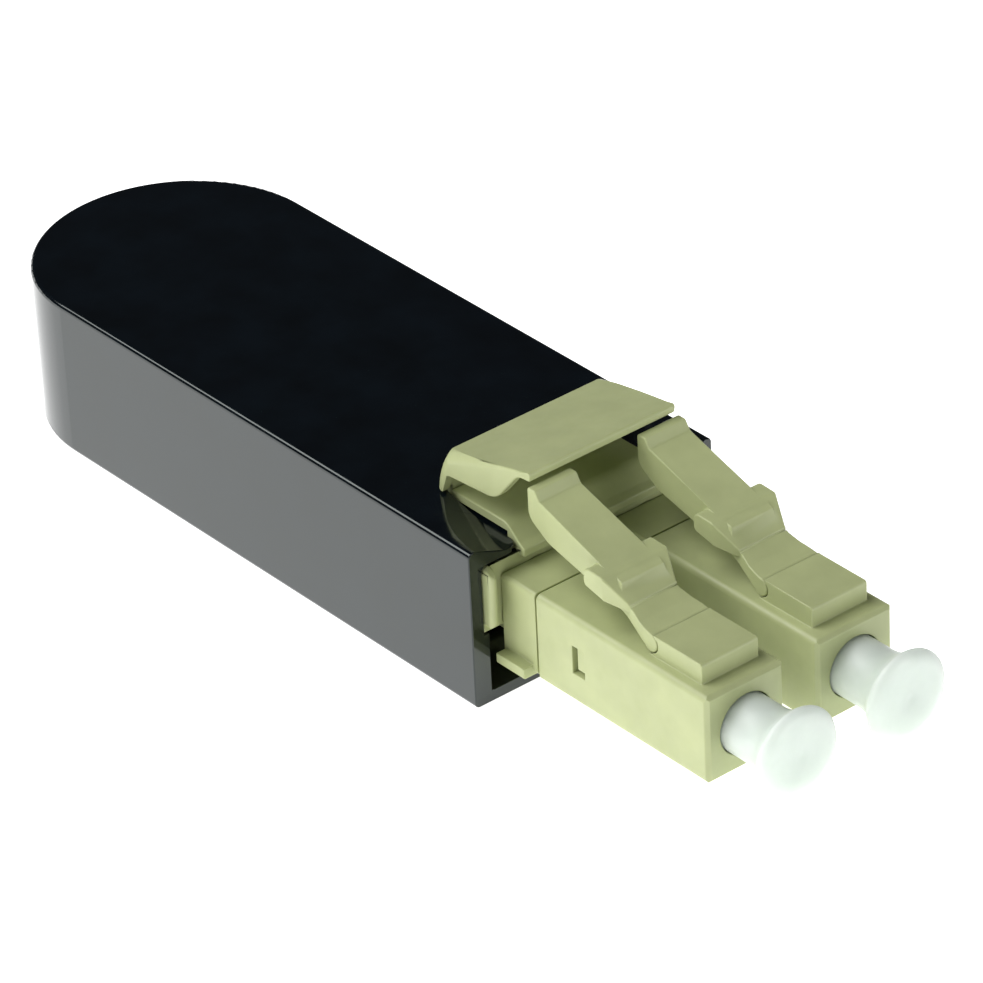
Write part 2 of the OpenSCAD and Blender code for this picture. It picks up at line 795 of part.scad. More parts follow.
// ring of the fibre's jacket at place i of a flat route
function fibre_ring(route, i) =
    let (last = len(route) - 1, d = route[min(i + 1, last)] - route[max(i - 1, 0)],
         s = [d[1], -d[0]] / norm(d), r = fibre_d / 2)
    [for (b = [0:36:324]) [route[i][0] + r * cos(b) * s[0],
                           route[i][1] + r * cos(b) * s[1], r * sin(b)]];

module fibre_loop() {
    route = fibre_route();
    color(JACKET) translate([front_x, 0, axis_z])
        swept_rod([for (i = [0:len(route) - 1]) fibre_ring(route, i)], 10);
}

// ---- dust caps ----

// half section of a cap, turned about X: a hollow barrel and a trumpet-shaped grip
module cap_section() {
    barrel = cap_barrel_d / 2;
    flare = cap_flare_d / 2;
    len = cap_in + cap_out;
    rim = 0.36;
    neck_r = 2.3;
    neck_start = len - 2 * rim - sqrt(pow(neck_r, 2) - pow(barrel + neck_r - flare, 2));
    dimple_r = 2.45;
    dimple = 0.12;
    difference() {
        union() {
            square([barrel, len - rim]);
            translate([0, neck_start]) square([flare - rim, len - neck_start]);
            translate([0, neck_start]) square([flare, len - rim - neck_start]);
        }
        translate([barrel + neck_r, neck_start]) circle(r = neck_r);
        difference() {
            translate([flare - rim, len - rim]) square([1, 1]);
            translate([flare - rim, len - rim]) circle(r = rim, $fn = 32);
        }
        translate([-1, -1]) square([1 + ferrule_d / 2 + run_fit, 1 + cap_in + ferrule_out + 0.3]);
        translate([0, len + dimple_r - dimple]) circle(r = dimple_r);
    }
}

module dust_cap(side) {
    color(CAP_WHITE) at_connector(side) translate([nose_x - cap_in, 0, 0])
        rotate([0, 90, 0]) rotate_extrude() cap_section();
}

shell();
duplex_clip();
trigger();
front_body(A);  // front_body_a
front_body(B);  // front_body_b
latch_arm(A);  // latch_arm_a
latch_arm(B);  // latch_arm_b
rear_body(A);  // rear_body_a
rear_body(B);  // rear_body_b
ferrule(A);  // ferrule_a
ferrule(B);  // ferrule_b
ferrule_holder(A);  // ferrule_holder_a
ferrule_holder(B);  // ferrule_holder_b
ferrule_spring(A);  // ferrule_spring_a
ferrule_spring(B);  // ferrule_spring_b
guide_tube(A);  // guide_tube_a
guide_tube(B);  // guide_tube_b
fibre_loop();
dust_cap(A);  // dust_cap_a
dust_cap(B);  // dust_cap_b
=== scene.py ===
import json
import math

import bmesh
import bpy
from bpy.props import FloatProperty, FloatVectorProperty, IntProperty
from mathutils import Matrix, Vector
from mathutils.bvhtree import BVHTree
from mathutils.geometry import barycentric_transform, interpolate_bezier
from mathutils.kdtree import KDTree

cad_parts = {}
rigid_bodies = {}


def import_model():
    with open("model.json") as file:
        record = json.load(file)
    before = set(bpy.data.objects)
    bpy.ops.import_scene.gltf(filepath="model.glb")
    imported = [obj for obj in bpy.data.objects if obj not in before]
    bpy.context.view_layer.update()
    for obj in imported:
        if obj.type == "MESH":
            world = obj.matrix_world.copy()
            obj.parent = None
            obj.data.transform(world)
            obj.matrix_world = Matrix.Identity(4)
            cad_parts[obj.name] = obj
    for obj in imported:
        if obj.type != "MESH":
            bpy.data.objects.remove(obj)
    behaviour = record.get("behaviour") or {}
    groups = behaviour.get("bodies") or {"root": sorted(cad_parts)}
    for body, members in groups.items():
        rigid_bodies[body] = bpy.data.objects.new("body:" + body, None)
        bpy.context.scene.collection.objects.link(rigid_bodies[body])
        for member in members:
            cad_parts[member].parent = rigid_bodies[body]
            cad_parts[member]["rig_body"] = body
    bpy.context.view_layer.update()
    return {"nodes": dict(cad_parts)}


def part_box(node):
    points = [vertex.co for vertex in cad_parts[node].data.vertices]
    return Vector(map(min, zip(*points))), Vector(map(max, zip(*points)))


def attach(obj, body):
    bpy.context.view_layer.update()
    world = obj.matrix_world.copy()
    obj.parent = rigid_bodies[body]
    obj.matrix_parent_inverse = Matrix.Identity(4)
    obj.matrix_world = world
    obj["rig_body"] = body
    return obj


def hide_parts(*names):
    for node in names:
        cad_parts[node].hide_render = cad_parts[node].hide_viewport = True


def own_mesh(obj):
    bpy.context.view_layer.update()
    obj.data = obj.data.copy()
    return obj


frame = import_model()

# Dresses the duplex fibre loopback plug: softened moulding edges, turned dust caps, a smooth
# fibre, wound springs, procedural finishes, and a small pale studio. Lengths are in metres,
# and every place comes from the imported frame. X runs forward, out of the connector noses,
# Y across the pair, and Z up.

bl_info = {
    "name": "Fibre loopback plug",
    "version": (1, 0, 0),
    "blender": (4, 5, 0),
    "location": "3D View > Sidebar > Plug",
    "description": "Builds the looks of a duplex fibre loopback plug around its solids",
    "category": "Object",
}

MM = 0.001
SIDES = ("a", "b")

# What is left of the solids' meshing before their edges are rounded
WELD = 0.002 * MM  # corners closer than this become one
WELD_SHARE = 0.25  # and so do corners closer than this share of the rounding's width
SLIVER = 0.003 * MM  # edges shorter than this go
FLAT_DEG = 0.6  # faces that meet at less than this become one

# How the shading of the solids is carried over to the rounded meshes
NEAR = 0.02 * MM  # how far from a corner the solid's triangles are looked for
ALIKE = 0.8  # cosine between a triangle and the face that it may shade
CURVED = 0.002  # difference between a triangle's corner normals that makes it part of a curve

# Signs that an edge was too crowded to be rounded
THROWN = 0.6  # widths that a corner may lie from the solid
TINY, LARGE = 0.02, 5.0  # widths between which a face is small enough to be turned over
TURNED_OVER = -0.2  # cosine between a face and the solid below which it is turned over
TRIES = 6  # rounds of leaving crowded edges sharp
SHORT = 4.0  # widths below which an edge is left sharp first, in the first half of the tries


# ---- sizes and colours that a user would change ----

def length(name, description, metres):
    """A bpy property for a length."""
    return FloatProperty(name=name, description=description, default=metres,
                         unit="LENGTH", precision=5)


def angle(name, description, degrees):
    """A bpy property for an angle, which Blender keeps in radians."""
    return FloatProperty(name=name, description=description, default=math.radians(degrees),
                         subtype="ANGLE")


def power(name, description, watts):
    """A bpy property for the power of a light."""
    return FloatProperty(name=name, description=description, default=watts, min=0.0,
                         unit="POWER")


def colour(name, description, default):
    """A bpy property for a linear colour."""
    return FloatVectorProperty(name=name, description=description, default=default,
                               subtype="COLOR", size=3, min=0.0, max=1.0)


class PlugEdges(bpy.types.PropertyGroup):
    """How far each kind of edge is rounded."""

    shell: length("Shell edges", "Rounding of the shell's mouth and scoop", 0.06 * MM)
    clip: length("Clip edges", "Rounding of the clip's edges", 0.08 * MM)
    trigger: length("Trigger edges", "Rounding of the trigger's edges", 0.07 * MM)
    body: length("Connector edges", "Rounding of the front bodies' edges", 0.05 * MM)
    arm: length("Latch edges", "Rounding of the latch arms' edges", 0.07 * MM)
    back: length("Back body edges", "Rounding of the back bodies' edges", 0.05 * MM)
    tube: length("Tube edges", "Rounding of the guide tubes' ends", 0.03 * MM)
    metal: length("Ferrule edges", "Broken edges of the ferrules and their holders", 0.02 * MM)
    steps: IntProperty(name="Steps", description="Facets across each rounded edge",
                       default=3, min=1, max=6)


class PlugColours(bpy.types.PropertyGroup):
    """Base colours of the plug's materials."""

    shell: colour("Shell", "Glossy black of the shell", (0.0015, 0.0031, 0.005))
    beige: colour("Connectors", "Olive beige of the connectors and the clip", (0.41, 0.45, 0.225))
    cap: colour("Dust caps", "Milky white of the dust caps", (0.60, 0.665, 0.613))
    ceramic: colour("Ferrules", "White of the ceramic ferrules", (0.88, 0.87, 0.82))
    metal: colour("Holders", "Metal of the ferrule holders", (0.62, 0.60, 0.55))
    spring: colour("Springs", "Steel of the ferrule springs", (0.48, 0.48, 0.50))
    tube: colour("Guide tubes", "Milky plastic of the guide tubes", (0.78, 0.78, 0.74))
    jacket: colour("Fibre", "Orange jacket of the fibre", (0.80, 0.23, 0.02))
    floor: colour("Floor", "Pale studio floor", (0.92, 0.92, 0.92))


class PlugStage(bpy.types.PropertyGroup):
    """Where the camera stands and how bright the studio is."""

    azimuth: angle("Azimuth", "Camera angle round the plug, from -Y", 51.59)
    elevation: angle("Elevation", "Camera angle above the floor", 32.16)
    roll: angle("Roll", "Turn of the camera about its own axis", 2.89)
    distance: length("Distance", "From the camera to the point it looks at", 274.95 * MM)
    aim_x: length("Aim X", "Point that the camera looks at", 1.2 * MM)
    aim_y: length("Aim Y", "Point that the camera looks at", 1.26 * MM)
    aim_z: length("Aim Z", "Point that the camera looks at", 3.74 * MM)
    view_angle: angle("View angle", "Angle that the picture takes in", 9.186)
    key: power("Key light", "Large soft light on the near side", 0.5)
    top: power("Top light", "Soft light overhead", 1.75)
    fill: power("Fill light", "Weak light on the nose side", 0.6)
    glow: FloatProperty(name="Floor glow", description="Light that the floor gives off, as a light table",
                        default=1.0, min=0.0)


# ---- mesh helpers ----

def new_piece(name, mesh):
    """Links a new object that holds the mesh."""
    piece = bpy.data.objects.new(name, mesh)
    bpy.context.scene.collection.objects.link(piece)
    return piece


def closed_piece(name, bm, sharp_deg):
    """A new object from a closed bmesh, shaded smooth up to edges sharper than sharp_deg."""
    bmesh.ops.recalc_face_normals(bm, faces=bm.faces)
    mesh = bpy.data.meshes.new(name)
    bm.to_mesh(mesh)
    bm.free()
    mesh.polygons.foreach_set("use_smooth", [True] * len(mesh.polygons))
    mesh.set_sharp_from_angle(angle=math.radians(sharp_deg))
    return new_piece(name, mesh)


class Surface:
    """A solid's own triangles, from which the shading of its rounded copy is taken.

    A curved triangle gives the normal between its corners. Flat ones are blended, each with
    the area of the flat face that it belongs to, so that small facets read as a rounding.
    """

    def __init__(self, source, plain):
        self.source = source
        self.tree = BVHTree.FromPolygons([v.co for v in source.vertices],
                                         [p.vertices[:] for p in source.polygons])
        flats = BVHTree.FromBMesh(plain)
        areas = [face.calc_area() for face in plain.faces]
        self.weights = [areas[flats.find_nearest(p.center)[2]] for p in source.polygons]

    def normal(self, spot, facing):
        """Shading normal at a spot, on the side of an edge that faces the given way."""
        hits = [hit for hit in self.tree.find_nearest_range(spot, NEAR) if hit[1].dot(facing) > ALIKE]
        if not hits:
            return facing
        place, _, best, _ = max(hits, key=lambda hit: hit[1].dot(facing) - hit[3] / MM)
        corners = self.source.polygons[best].loop_indices
        normals = [self.source.corner_normals[c].vector.copy() for c in corners]
        if max((normal - normals[0]).length for normal in normals) > CURVED:
            points = [self.source.vertices[self.source.loops[c].vertex_index].co for c in corners]
            normal = barycentric_transform(place, *points, *normals)
            if abs(normal.length - 1.0) < 0.1:
                return normal.normalized()
        total = Vector()
        for _, flat, index, _ in hits:
            total += self.weights[index] * flat
        return total.normalized()


def keep_normals(bm, rounded, surface):
    """Shading normals for every corner: the solid's own beside the roundings, blended on them."""
    normals = []
    known = {}
    for face in bm.faces:
        for vert in face.verts:
            if all(other in rounded for other in vert.link_faces):
                normals.append(vert.normal.copy())
                continue
            near = face
            if face in rounded:
                near = max((other for other in vert.link_faces if other not in rounded),
                           key=lambda other: other.normal.dot(face.normal))
            key = (vert.index, near.index)
            if key not in known:
                known[key] = surface.normal(vert.co, near.normal)
            normals.append(known[key])
    return normals


def faults(bm, solid, width):
    """Places where rounding went wrong: corners thrown off the solid, and small faces turned over."""
    spots = []
    for vert in bm.verts:
        if solid.find_nearest(vert.co)[3] > THROWN * width:
            spots.append(vert.co.copy())
            spots.extend(edge.other_vert(vert).co.copy() for edge in vert.link_edges)
    for face in bm.faces:
        if (TINY * width) ** 2 < face.calc_area() < (LARGE * width) ** 2:
            centre = face.calc_center_median()
            if face.normal.dot(solid.find_nearest(centre)[1]) < TURNED_OVER:
                spots.append(centre)
    return spots


def crowded(edges, spots, reach, limit):
    """Indices of the edges no longer than limit that end within reach of a spot."""
    tree = KDTree(len(spots))
    for i, spot in enumerate(spots):
        tree.insert(spot, i)
    tree.balance()
    return {index for index, (one, two) in edges.items()
            if (two - one).length < limit and min(tree.find(one)[2], tree.find(two)[2]) < reach}


def softened(node, name, width, steps, sharp_deg=35.0):
    """A copy of a CAD node with its sharp edges rounded to the given width.

    Edges too crowded to take the rounding are found by trying, and stay sharp.
    """
    source = frame["nodes"][node].data
    plain = bmesh.new()
    plain.from_mesh(source)
    bmesh.ops.remove_doubles(plain, verts=plain.verts, dist=max(WELD, WELD_SHARE * width))
    bmesh.ops.dissolve_degenerate(plain, edges=plain.edges, dist=SLIVER)
    bmesh.ops.dissolve_limit(plain, angle_limit=math.radians(FLAT_DEG), verts=plain.verts,
                             edges=plain.edges)
    surface = Surface(source, plain)
    kept = set()
    for attempt in range(TRIES):
        bm = plain.copy()
        sharp = [e for e in bm.edges if e.index not in kept and e.is_manifold
                 and e.calc_face_angle(0.0) > math.radians(sharp_deg)]
        ends = {e.index: (e.verts[0].co.copy(), e.verts[1].co.copy()) for e in sharp}
        made = bmesh.ops.bevel(bm, geom=sharp, offset=width, offset_type="OFFSET", segments=steps,
                               profile=0.5, affect="EDGES", clamp_overlap=False, loop_slide=True)
        spots = faults(bm, surface.tree, width)
        if not spots or attempt == TRIES - 1:
            break
        reach = width * (1.5 + 0.75 * attempt)
        tight = crowded(ends, spots, reach, SHORT * width) if attempt < TRIES / 2 else set()
        kept |= tight or crowded(ends, spots, reach, math.inf)
        bm.free()
    plain.free()
    bm.normal_update()
    bm.verts.index_update()
    bm.faces.index_update()
    normals = keep_normals(bm, set(made["faces"]), surface)
    mesh = bpy.data.meshes.new(name)
    bm.to_mesh(mesh)
    bm.free()
    mesh.polygons.foreach_set("use_smooth", [True] * len(mesh.polygons))
    mesh.normals_split_custom_set(normals)
    return new_piece(name, mesh)


def dress(piece, node, material):
    """Gives a piece its material and its body, and lets it stand for its CAD node."""
    piece.data.materials.clear()
    piece.data.materials.append(material)
    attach(piece, frame["nodes"][node]["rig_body"])
    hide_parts(node)


def ring_turns(sides):
    """Angles of the corners round a ring."""
    return [2.0 * math.pi * k / sides for k in range(sides)]


def turned(name, section, place, sides):
    """A solid turned about a line along X through the place, from a list of (distance, radius)."""
    bm = bmesh.new()
    rings = []
    for along, radius in section:
        turns = ring_turns(sides) if radius > 0.0 else [0.0]
        rings.append([bm.verts.new(place + Vector((along, radius * math.cos(t), radius * math.sin(t))))
                      for t in turns])
    for one, two in zip(rings, rings[1:]):
        for k in range(sides):
            corners = (one[k % len(one)], one[(k + 1) % len(one)],
                       two[(k + 1) % len(two)], two[k % len(two)])
            bm.faces.new(list(dict.fromkeys(corners)))
    return closed_piece(name, bm, 40.0)


def swept_tube(name, path, radius, sides):
    """A round rod with flat ends along a list of points."""
    bm = bmesh.new()
    rings = []
    side = Vector((0.0, 0.0, 1.0))
    for i, point in enumerate(path):
        ahead = path[min(i + 1, len(path) - 1)] - path[max(i - 1, 0)]
        ahead.normalize()
        side = (side - ahead * side.dot(ahead)).normalized()
        across = ahead.cross(side)
        rings.append([bm.verts.new(point + radius * (math.cos(t) * side + math.sin(t) * across))
                      for t in ring_turns(sides)])
    for one, two in zip(rings, rings[1:]):
        for k in range(sides):
            bm.faces.new((one[k], one[(k + 1) % sides], two[(k + 1) % sides], two[k]))
    bm.faces.new(list(reversed(rings[0])))
    bm.faces.new(rings[-1])
    return closed_piece(name, bm, 50.0)


# ---- materials ----

class Finish:
    """A material under construction: one Principled shader fed by procedural textures."""

    def __init__(self, name, base, roughness):
        self.material = bpy.data.materials.new(name)
        self.material.use_nodes = True
        self.nodes = self.material.node_tree.nodes
        self.links = self.material.node_tree.links
        self.shader = self.nodes["Principled BSDF"]
        self.place = self.nodes.new("ShaderNodeTexCoord").outputs["Object"]
        self.set("Base Color", (*base, 1.0))
        self.set("Roughness", roughness)
        self.material.diffuse_color = (*base, 1.0)
        self.normal = None

    def set(self, socket, value):
        """Sets a value that is the same all over the surface."""
        self.shader.inputs[socket].default_value = value

    def noise(self, grain, detail=3.0, stretch=(1.0, 1.0, 1.0)):
        """Noise whose features are about grain metres across."""
        mapping = self.nodes.new("ShaderNodeMapping")
        mapping.inputs["Scale"].default_value = [s / grain for s in stretch]
        self.links.new(self.place, mapping.inputs["Vector"])
        noise = self.nodes.new("ShaderNodeTexNoise")
        noise.inputs["Scale"].default_value = 1.0
        noise.inputs["Detail"].default_value = detail
        self.links.new(mapping.outputs["Vector"], noise.inputs["Vector"])
        return noise.outputs["Fac"]

    def spread(self, source, low, high):
        """Maps the middle of a noise onto the range from low to high."""
        ranged = self.nodes.new("ShaderNodeMapRange")
        ranged.inputs["From Min"].default_value = 0.3
        ranged.inputs["From Max"].default_value = 0.7
        ranged.inputs["To Min"].default_value = low
        ranged.inputs["To Max"].default_value = high
        self.links.new(source, ranged.inputs["Value"])
        return ranged.outputs["Result"]

    def mottle(self, grain, dark, light):
        """Lets the colour drift between two shades."""
        blend = self.nodes.new("ShaderNodeMix")
        blend.data_type = "RGBA"
        blend.inputs["A"].default_value = (*dark, 1.0)
        blend.inputs["B"].default_value = (*light, 1.0)
        self.links.new(self.spread(self.noise(grain), 0.0, 1.0), blend.inputs["Factor"])
        self.links.new(blend.outputs["Result"], self.shader.inputs["Base Color"])

    def uneven_gloss(self, grain, low, high, stretch=(1.0, 1.0, 1.0)):
        """Lets the roughness drift between two values."""
        self.links.new(self.spread(self.noise(grain, 4.0, stretch), low, high),
                       self.shader.inputs["Roughness"])

    def relief(self, grain, depth, strength, detail=3.0, stretch=(1.0, 1.0, 1.0)):
        """Adds a fine relief on top of any relief that is there already."""
        bump = self.nodes.new("ShaderNodeBump")
        bump.inputs["Strength"].default_value = strength
        bump.inputs["Distance"].default_value = depth
        self.links.new(self.noise(grain, detail, stretch), bump.inputs["Height"])
        if self.normal is not None:
            self.links.new(self.normal, bump.inputs["Normal"])
        self.normal = bump.outputs["Normal"]
        self.links.new(self.normal, self.shader.inputs["Normal"])


def shade(base, factor):
    """A colour made darker or lighter by a factor."""
    return tuple(min(1.0, c * factor) for c in base)


def once(name, build):
    """The material of that name, built the first time it is asked for."""
    return bpy.data.materials.get(name) or build(name)


def shell_finish(name):
    """Hard glossy black plastic with a faint moulded waviness."""
    base = bpy.context.scene.plug_colours.shell
    finish = Finish(name, base, 0.1)
    finish.set("IOR", 1.58)
    finish.set("Specular Tint", (0.92, 1.0, 0.96, 1.0))
    finish.mottle(2.5 * MM, shade(base, 0.7), shade(base, 1.4))
    finish.uneven_gloss(1.2 * MM, 0.07, 0.16)
    finish.relief(3.0 * MM, 0.004 * MM, 0.5, 1.0)
    finish.relief(0.06 * MM, 0.0006 * MM, 0.5)
    return finish.material


def beige_finish(name):
    """Satin moulded plastic with a fine spark-eroded grain."""
    base = bpy.context.scene.plug_colours.beige
    finish = Finish(name, base, 0.42)
    finish.set("Subsurface Weight", 0.12)
    finish.set("Subsurface Radius", (0.6, 0.6, 0.4))
    finish.set("Subsurface Scale", 0.6 * MM)
    finish.mottle(1.6 * MM, shade(base, 0.94), shade(base, 1.05))
    finish.uneven_gloss(0.7 * MM, 0.36, 0.5)
    finish.relief(0.9 * MM, 0.006 * MM, 0.35, 2.0)
    finish.relief(0.05 * MM, 0.0015 * MM, 0.5)
    return finish.material


def cap_finish(name):
    """Soft milky plastic that lets some light through."""
    base = bpy.context.scene.plug_colours.cap
    finish = Finish(name, base, 0.38)
    finish.set("Subsurface Weight", 0.9)
    finish.set("Subsurface Radius", (1.0, 1.0, 0.95))
    finish.set("Subsurface Scale", 2.0 * MM)
    finish.mottle(1.1 * MM, shade(base, 0.97), shade(base, 1.03))
    finish.uneven_gloss(0.5 * MM, 0.32, 0.46)
    finish.relief(0.6 * MM, 0.005 * MM, 0.3, 2.0)
    return finish.material


def ceramic_finish(name):
    """Polished ceramic."""
    base = bpy.context.scene.plug_colours.ceramic
    finish = Finish(name, base, 0.12)
    finish.set("IOR", 2.1)
    finish.mottle(0.6 * MM, shade(base, 0.97), shade(base, 1.02))
    finish.uneven_gloss(0.3 * MM, 0.08, 0.18)
    finish.relief(0.04 * MM, 0.0004 * MM, 0.4)
    return finish.material


def holder_finish(name):
    """Turned metal, with the tool's marks running round it."""
    base = bpy.context.scene.plug_colours.metal
    finish = Finish(name, base, 0.3)
    finish.set("Metallic", 1.0)
    finish.mottle(0.5 * MM, shade(base, 0.9), shade(base, 1.06))
    finish.uneven_gloss(0.05 * MM, 0.22, 0.4, (4.0, 0.2, 0.2))
    finish.relief(0.05 * MM, 0.001 * MM, 0.5, 2.0, (4.0, 0.2, 0.2))
    return finish.material


def spring_finish(name):
    """Drawn steel wire."""
    base = bpy.context.scene.plug_colours.spring
    finish = Finish(name, base, 0.28)
    finish.set("Metallic", 1.0)
    finish.mottle(0.4 * MM, shade(base, 0.88), shade(base, 1.08))
    finish.uneven_gloss(0.12 * MM, 0.2, 0.4)
    finish.relief(0.08 * MM, 0.001 * MM, 0.4)
    return finish.material


def tube_finish(name):
    """Milky plastic tubing."""
    base = bpy.context.scene.plug_colours.tube
    finish = Finish(name, base, 0.35)
    finish.set("Subsurface Weight", 0.4)
    finish.set("Subsurface Radius", (1.0, 1.0, 0.9))
    finish.set("Subsurface Scale", 0.6 * MM)
    finish.mottle(0.9 * MM, shade(base, 0.95), shade(base, 1.04))
    finish.uneven_gloss(0.4 * MM, 0.28, 0.45)
    finish.relief(0.3 * MM, 0.002 * MM, 0.4)
    return finish.material


def jacket_finish(name):
    """Extruded orange jacket of the fibre."""
    base = bpy.context.scene.plug_colours.jacket
    finish = Finish(name, base, 0.4)
    finish.mottle(1.3 * MM, shade(base, 0.92), shade(base, 1.06))
    finish.uneven_gloss(0.5 * MM, 0.32, 0.5)
    finish.relief(0.12 * MM, 0.0015 * MM, 0.5)
    return finish.material


def floor_finish(name):
    """Pale matt studio floor."""
    base = bpy.context.scene.plug_colours.floor
    finish = Finish(name, base, 0.9)
    finish.mottle(60.0 * MM, shade(base, 0.995), shade(base, 1.005))
    finish.set("Emission Color", (1.0, 1.0, 1.0, 1.0))
    finish.set("Emission Strength", bpy.context.scene.plug_stage.glow)
    return finish.material


# ---- pieces ----

class PLUG_OT_shell(bpy.types.Operator):
    """Dress the black shell"""

    bl_idname = "plug.shell"
    bl_label = "Shell"

    def execute(self, context):
        edges = context.scene.plug_edges
        shell = softened("shell", "shell_skin", edges.shell, edges.steps)
        dress(shell, "shell", once("Glossy black plastic", shell_finish))
        return {"FINISHED"}


class PLUG_OT_clip(bpy.types.Operator):
    """Dress the duplex clip that holds both connectors"""

    bl_idname = "plug.clip"
    bl_label = "Duplex clip"

    def execute(self, context):
        edges = context.scene.plug_edges
        clip = softened("duplex_clip", "clip_skin", edges.clip, edges.steps)
        dress(clip, "duplex_clip", once("Olive beige plastic", beige_finish))
        return {"FINISHED"}


class PLUG_OT_trigger(bpy.types.Operator):
    """Dress the release trigger"""

    bl_idname = "plug.trigger"
    bl_label = "Trigger"

    def execute(self, context):
        edges = context.scene.plug_edges
        trigger = softened("trigger", "trigger_skin", edges.trigger, edges.steps)
        dress(trigger, "trigger", once("Olive beige plastic", beige_finish))
        return {"FINISHED"}


class PLUG_OT_connectors(bpy.types.Operator):
    """Dress the front bodies, latch arms and back bodies of both connectors"""

    bl_idname = "plug.connectors"
    bl_label = "Connectors"

    def execute(self, context):
        edges = context.scene.plug_edges
        beige = once("Olive beige plastic", beige_finish)
        widths = {"front_body": edges.body, "latch_arm": edges.arm, "rear_body": edges.back}
        for kind, width in widths.items():
            for side in SIDES:
                node = f"{kind}_{side}"
                dress(softened(node, f"{node}_skin", width, edges.steps), node, beige)
        return {"FINISHED"}


class PLUG_OT_ferrules(bpy.types.Operator):
    """Dress the ceramic ferrules and their metal holders"""

    bl_idname = "plug.ferrules"
    bl_label = "Ferrules"

    def execute(self, context):
        edges = context.scene.plug_edges
        ceramic = once("Polished ceramic", ceramic_finish)
        metal = once("Turned metal", holder_finish)
        for side in SIDES:
            ferrule = f"ferrule_{side}"
            dress(softened(ferrule, f"{ferrule}_skin", edges.metal, edges.steps), ferrule, ceramic)
            holder = f"ferrule_holder_{side}"
            dress(softened(holder, f"{holder}_skin", edges.metal, edges.steps), holder, metal)
        return {"FINISHED"}


class PLUG_OT_springs(bpy.types.Operator):
    """Wind the ferrule springs from round wire, with closed end turns"""

    bl_idname = "plug.springs"
    bl_label = "Springs"

    wire: length("Wire", "Diameter of the spring wire", 0.3 * MM)
    travel: length("Travel", "How far the ferrule's float shortens the spring", 0.6 * MM)
    turns: FloatProperty(name="Turns", description="Turns between the closed ends", default=5.0)
    dead_turns: FloatProperty(name="Dead turns", description="Closed turns at each end", default=1.0)
    points: IntProperty(name="Points", description="Points along each turn", default=36, min=8)
    sides: IntProperty(name="Sides", description="Facets round the wire", default=12, min=6)

    def coil(self, low, high):
        """Points along the middle of the wire, wound about X inside the box."""
        middle = (low + high) / 2.0
        radius = (high.y - low.y - self.wire) / 2.0
        start = low.x + self.wire / 2.0
        end = high.x - self.wire / 2.0
        closed = self.dead_turns * self.wire
        total = self.turns + 2.0 * self.dead_turns
        steps = int(total * self.points)
        path = []
        for i in range(steps + 1):
            turn = total * i / steps
            if turn < self.dead_turns:
                x = start + self.wire * turn
            elif turn > total - self.dead_turns:
                x = end - self.wire * (total - turn)
            else:
                x = start + closed + (end - start - 2.0 * closed) * (turn - self.dead_turns) / self.turns
            t = 2.0 * math.pi * turn
            path.append(Vector((x, middle.y + radius * math.cos(t), middle.z + radius * math.sin(t))))
        return path

    def execute(self, context):
        steel = once("Spring steel", spring_finish)
        for side in SIDES:
            node = f"ferrule_spring_{side}"
            low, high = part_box(node)
            spring = swept_tube(f"{node}_wire", self.coil(low, high), self.wire / 2.0, self.sides)
            dress(spring, node, steel)
            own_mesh(spring)
        return {"FINISHED"}


class PLUG_OT_guides(bpy.types.Operator):
    """Dress the soft guide tubes behind the connectors"""

    bl_idname = "plug.guides"
    bl_label = "Guide tubes"

    def execute(self, context):
        edges = context.scene.plug_edges
        milky = once("Milky tubing", tube_finish)
        for side in SIDES:
            node = f"guide_tube_{side}"
            dress(softened(node, f"{node}_skin", edges.tube, edges.steps), node, milky)
        return {"FINISHED"}


class PLUG_OT_fibre(bpy.types.Operator):
    """Lay the buffered fibre round its loop"""

    bl_idname = "plug.fibre"
    bl_label = "Fibre loop"

    spread_radius: length("Spread radius", "Bend radius where the fibre spreads out", 12.0 * MM)
    straight: length("Straight end", "Straight stretch behind the guide tubes", 1.0 * MM)
    steps: IntProperty(name="Steps", description="Points along each spreading bend", default=12, min=4)
    sides: IntProperty(name="Sides", description="Facets round the fibre", default=24, min=8)

    def leg(self, start_x, bend_x, lane, loop):
        """Route in plan on the +Y side, from the holder out to the loop's width, by two equal bends."""
        spread = self.spread_radius
        swing = math.acos(1.0 - (loop - lane) / (2.0 * spread))
        far_x = bend_x - 2.0 * spread * math.sin(swing)
        leg = [(start_x, lane), ((start_x + bend_x) / 2.0, lane)]
        for i in range(self.steps + 1):
            a = swing * i / self.steps
            leg.append((bend_x - spread * math.sin(a), lane + spread * (1.0 - math.cos(a))))
        for i in range(self.steps - 1, -1, -1):
            a = swing * i / self.steps
            leg.append((far_x + spread * math.sin(a), loop - spread * (1.0 - math.cos(a))))
        return leg

    def execute(self, context):
        low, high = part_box("fibre_loop")
        tube_low, tube_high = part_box("guide_tube_b")
        radius = (high.z - low.z) / 2.0
        loop = (high.y - low.y) / 2.0 - radius
        lane = (tube_low.y + tube_high.y) / 2.0
        centre_x = low.x + radius + loop
        leg = self.leg(high.x, tube_low.x - self.straight, lane, loop)
        arc = [(centre_x + loop * math.cos(math.radians(a)), loop * math.sin(math.radians(a)))
               for a in range(90, 271, 4)]
        back = [(x, -y) for x, y in reversed(leg)]
        z = (low.z + high.z) / 2.0
        path = [Vector((x, y, z)) for x, y in leg + arc + back]
        fibre = swept_tube("fibre_jacket", path, radius, self.sides)
        dress(fibre, "fibre_loop", once("Orange jacket", jacket_finish))
        return {"FINISHED"}


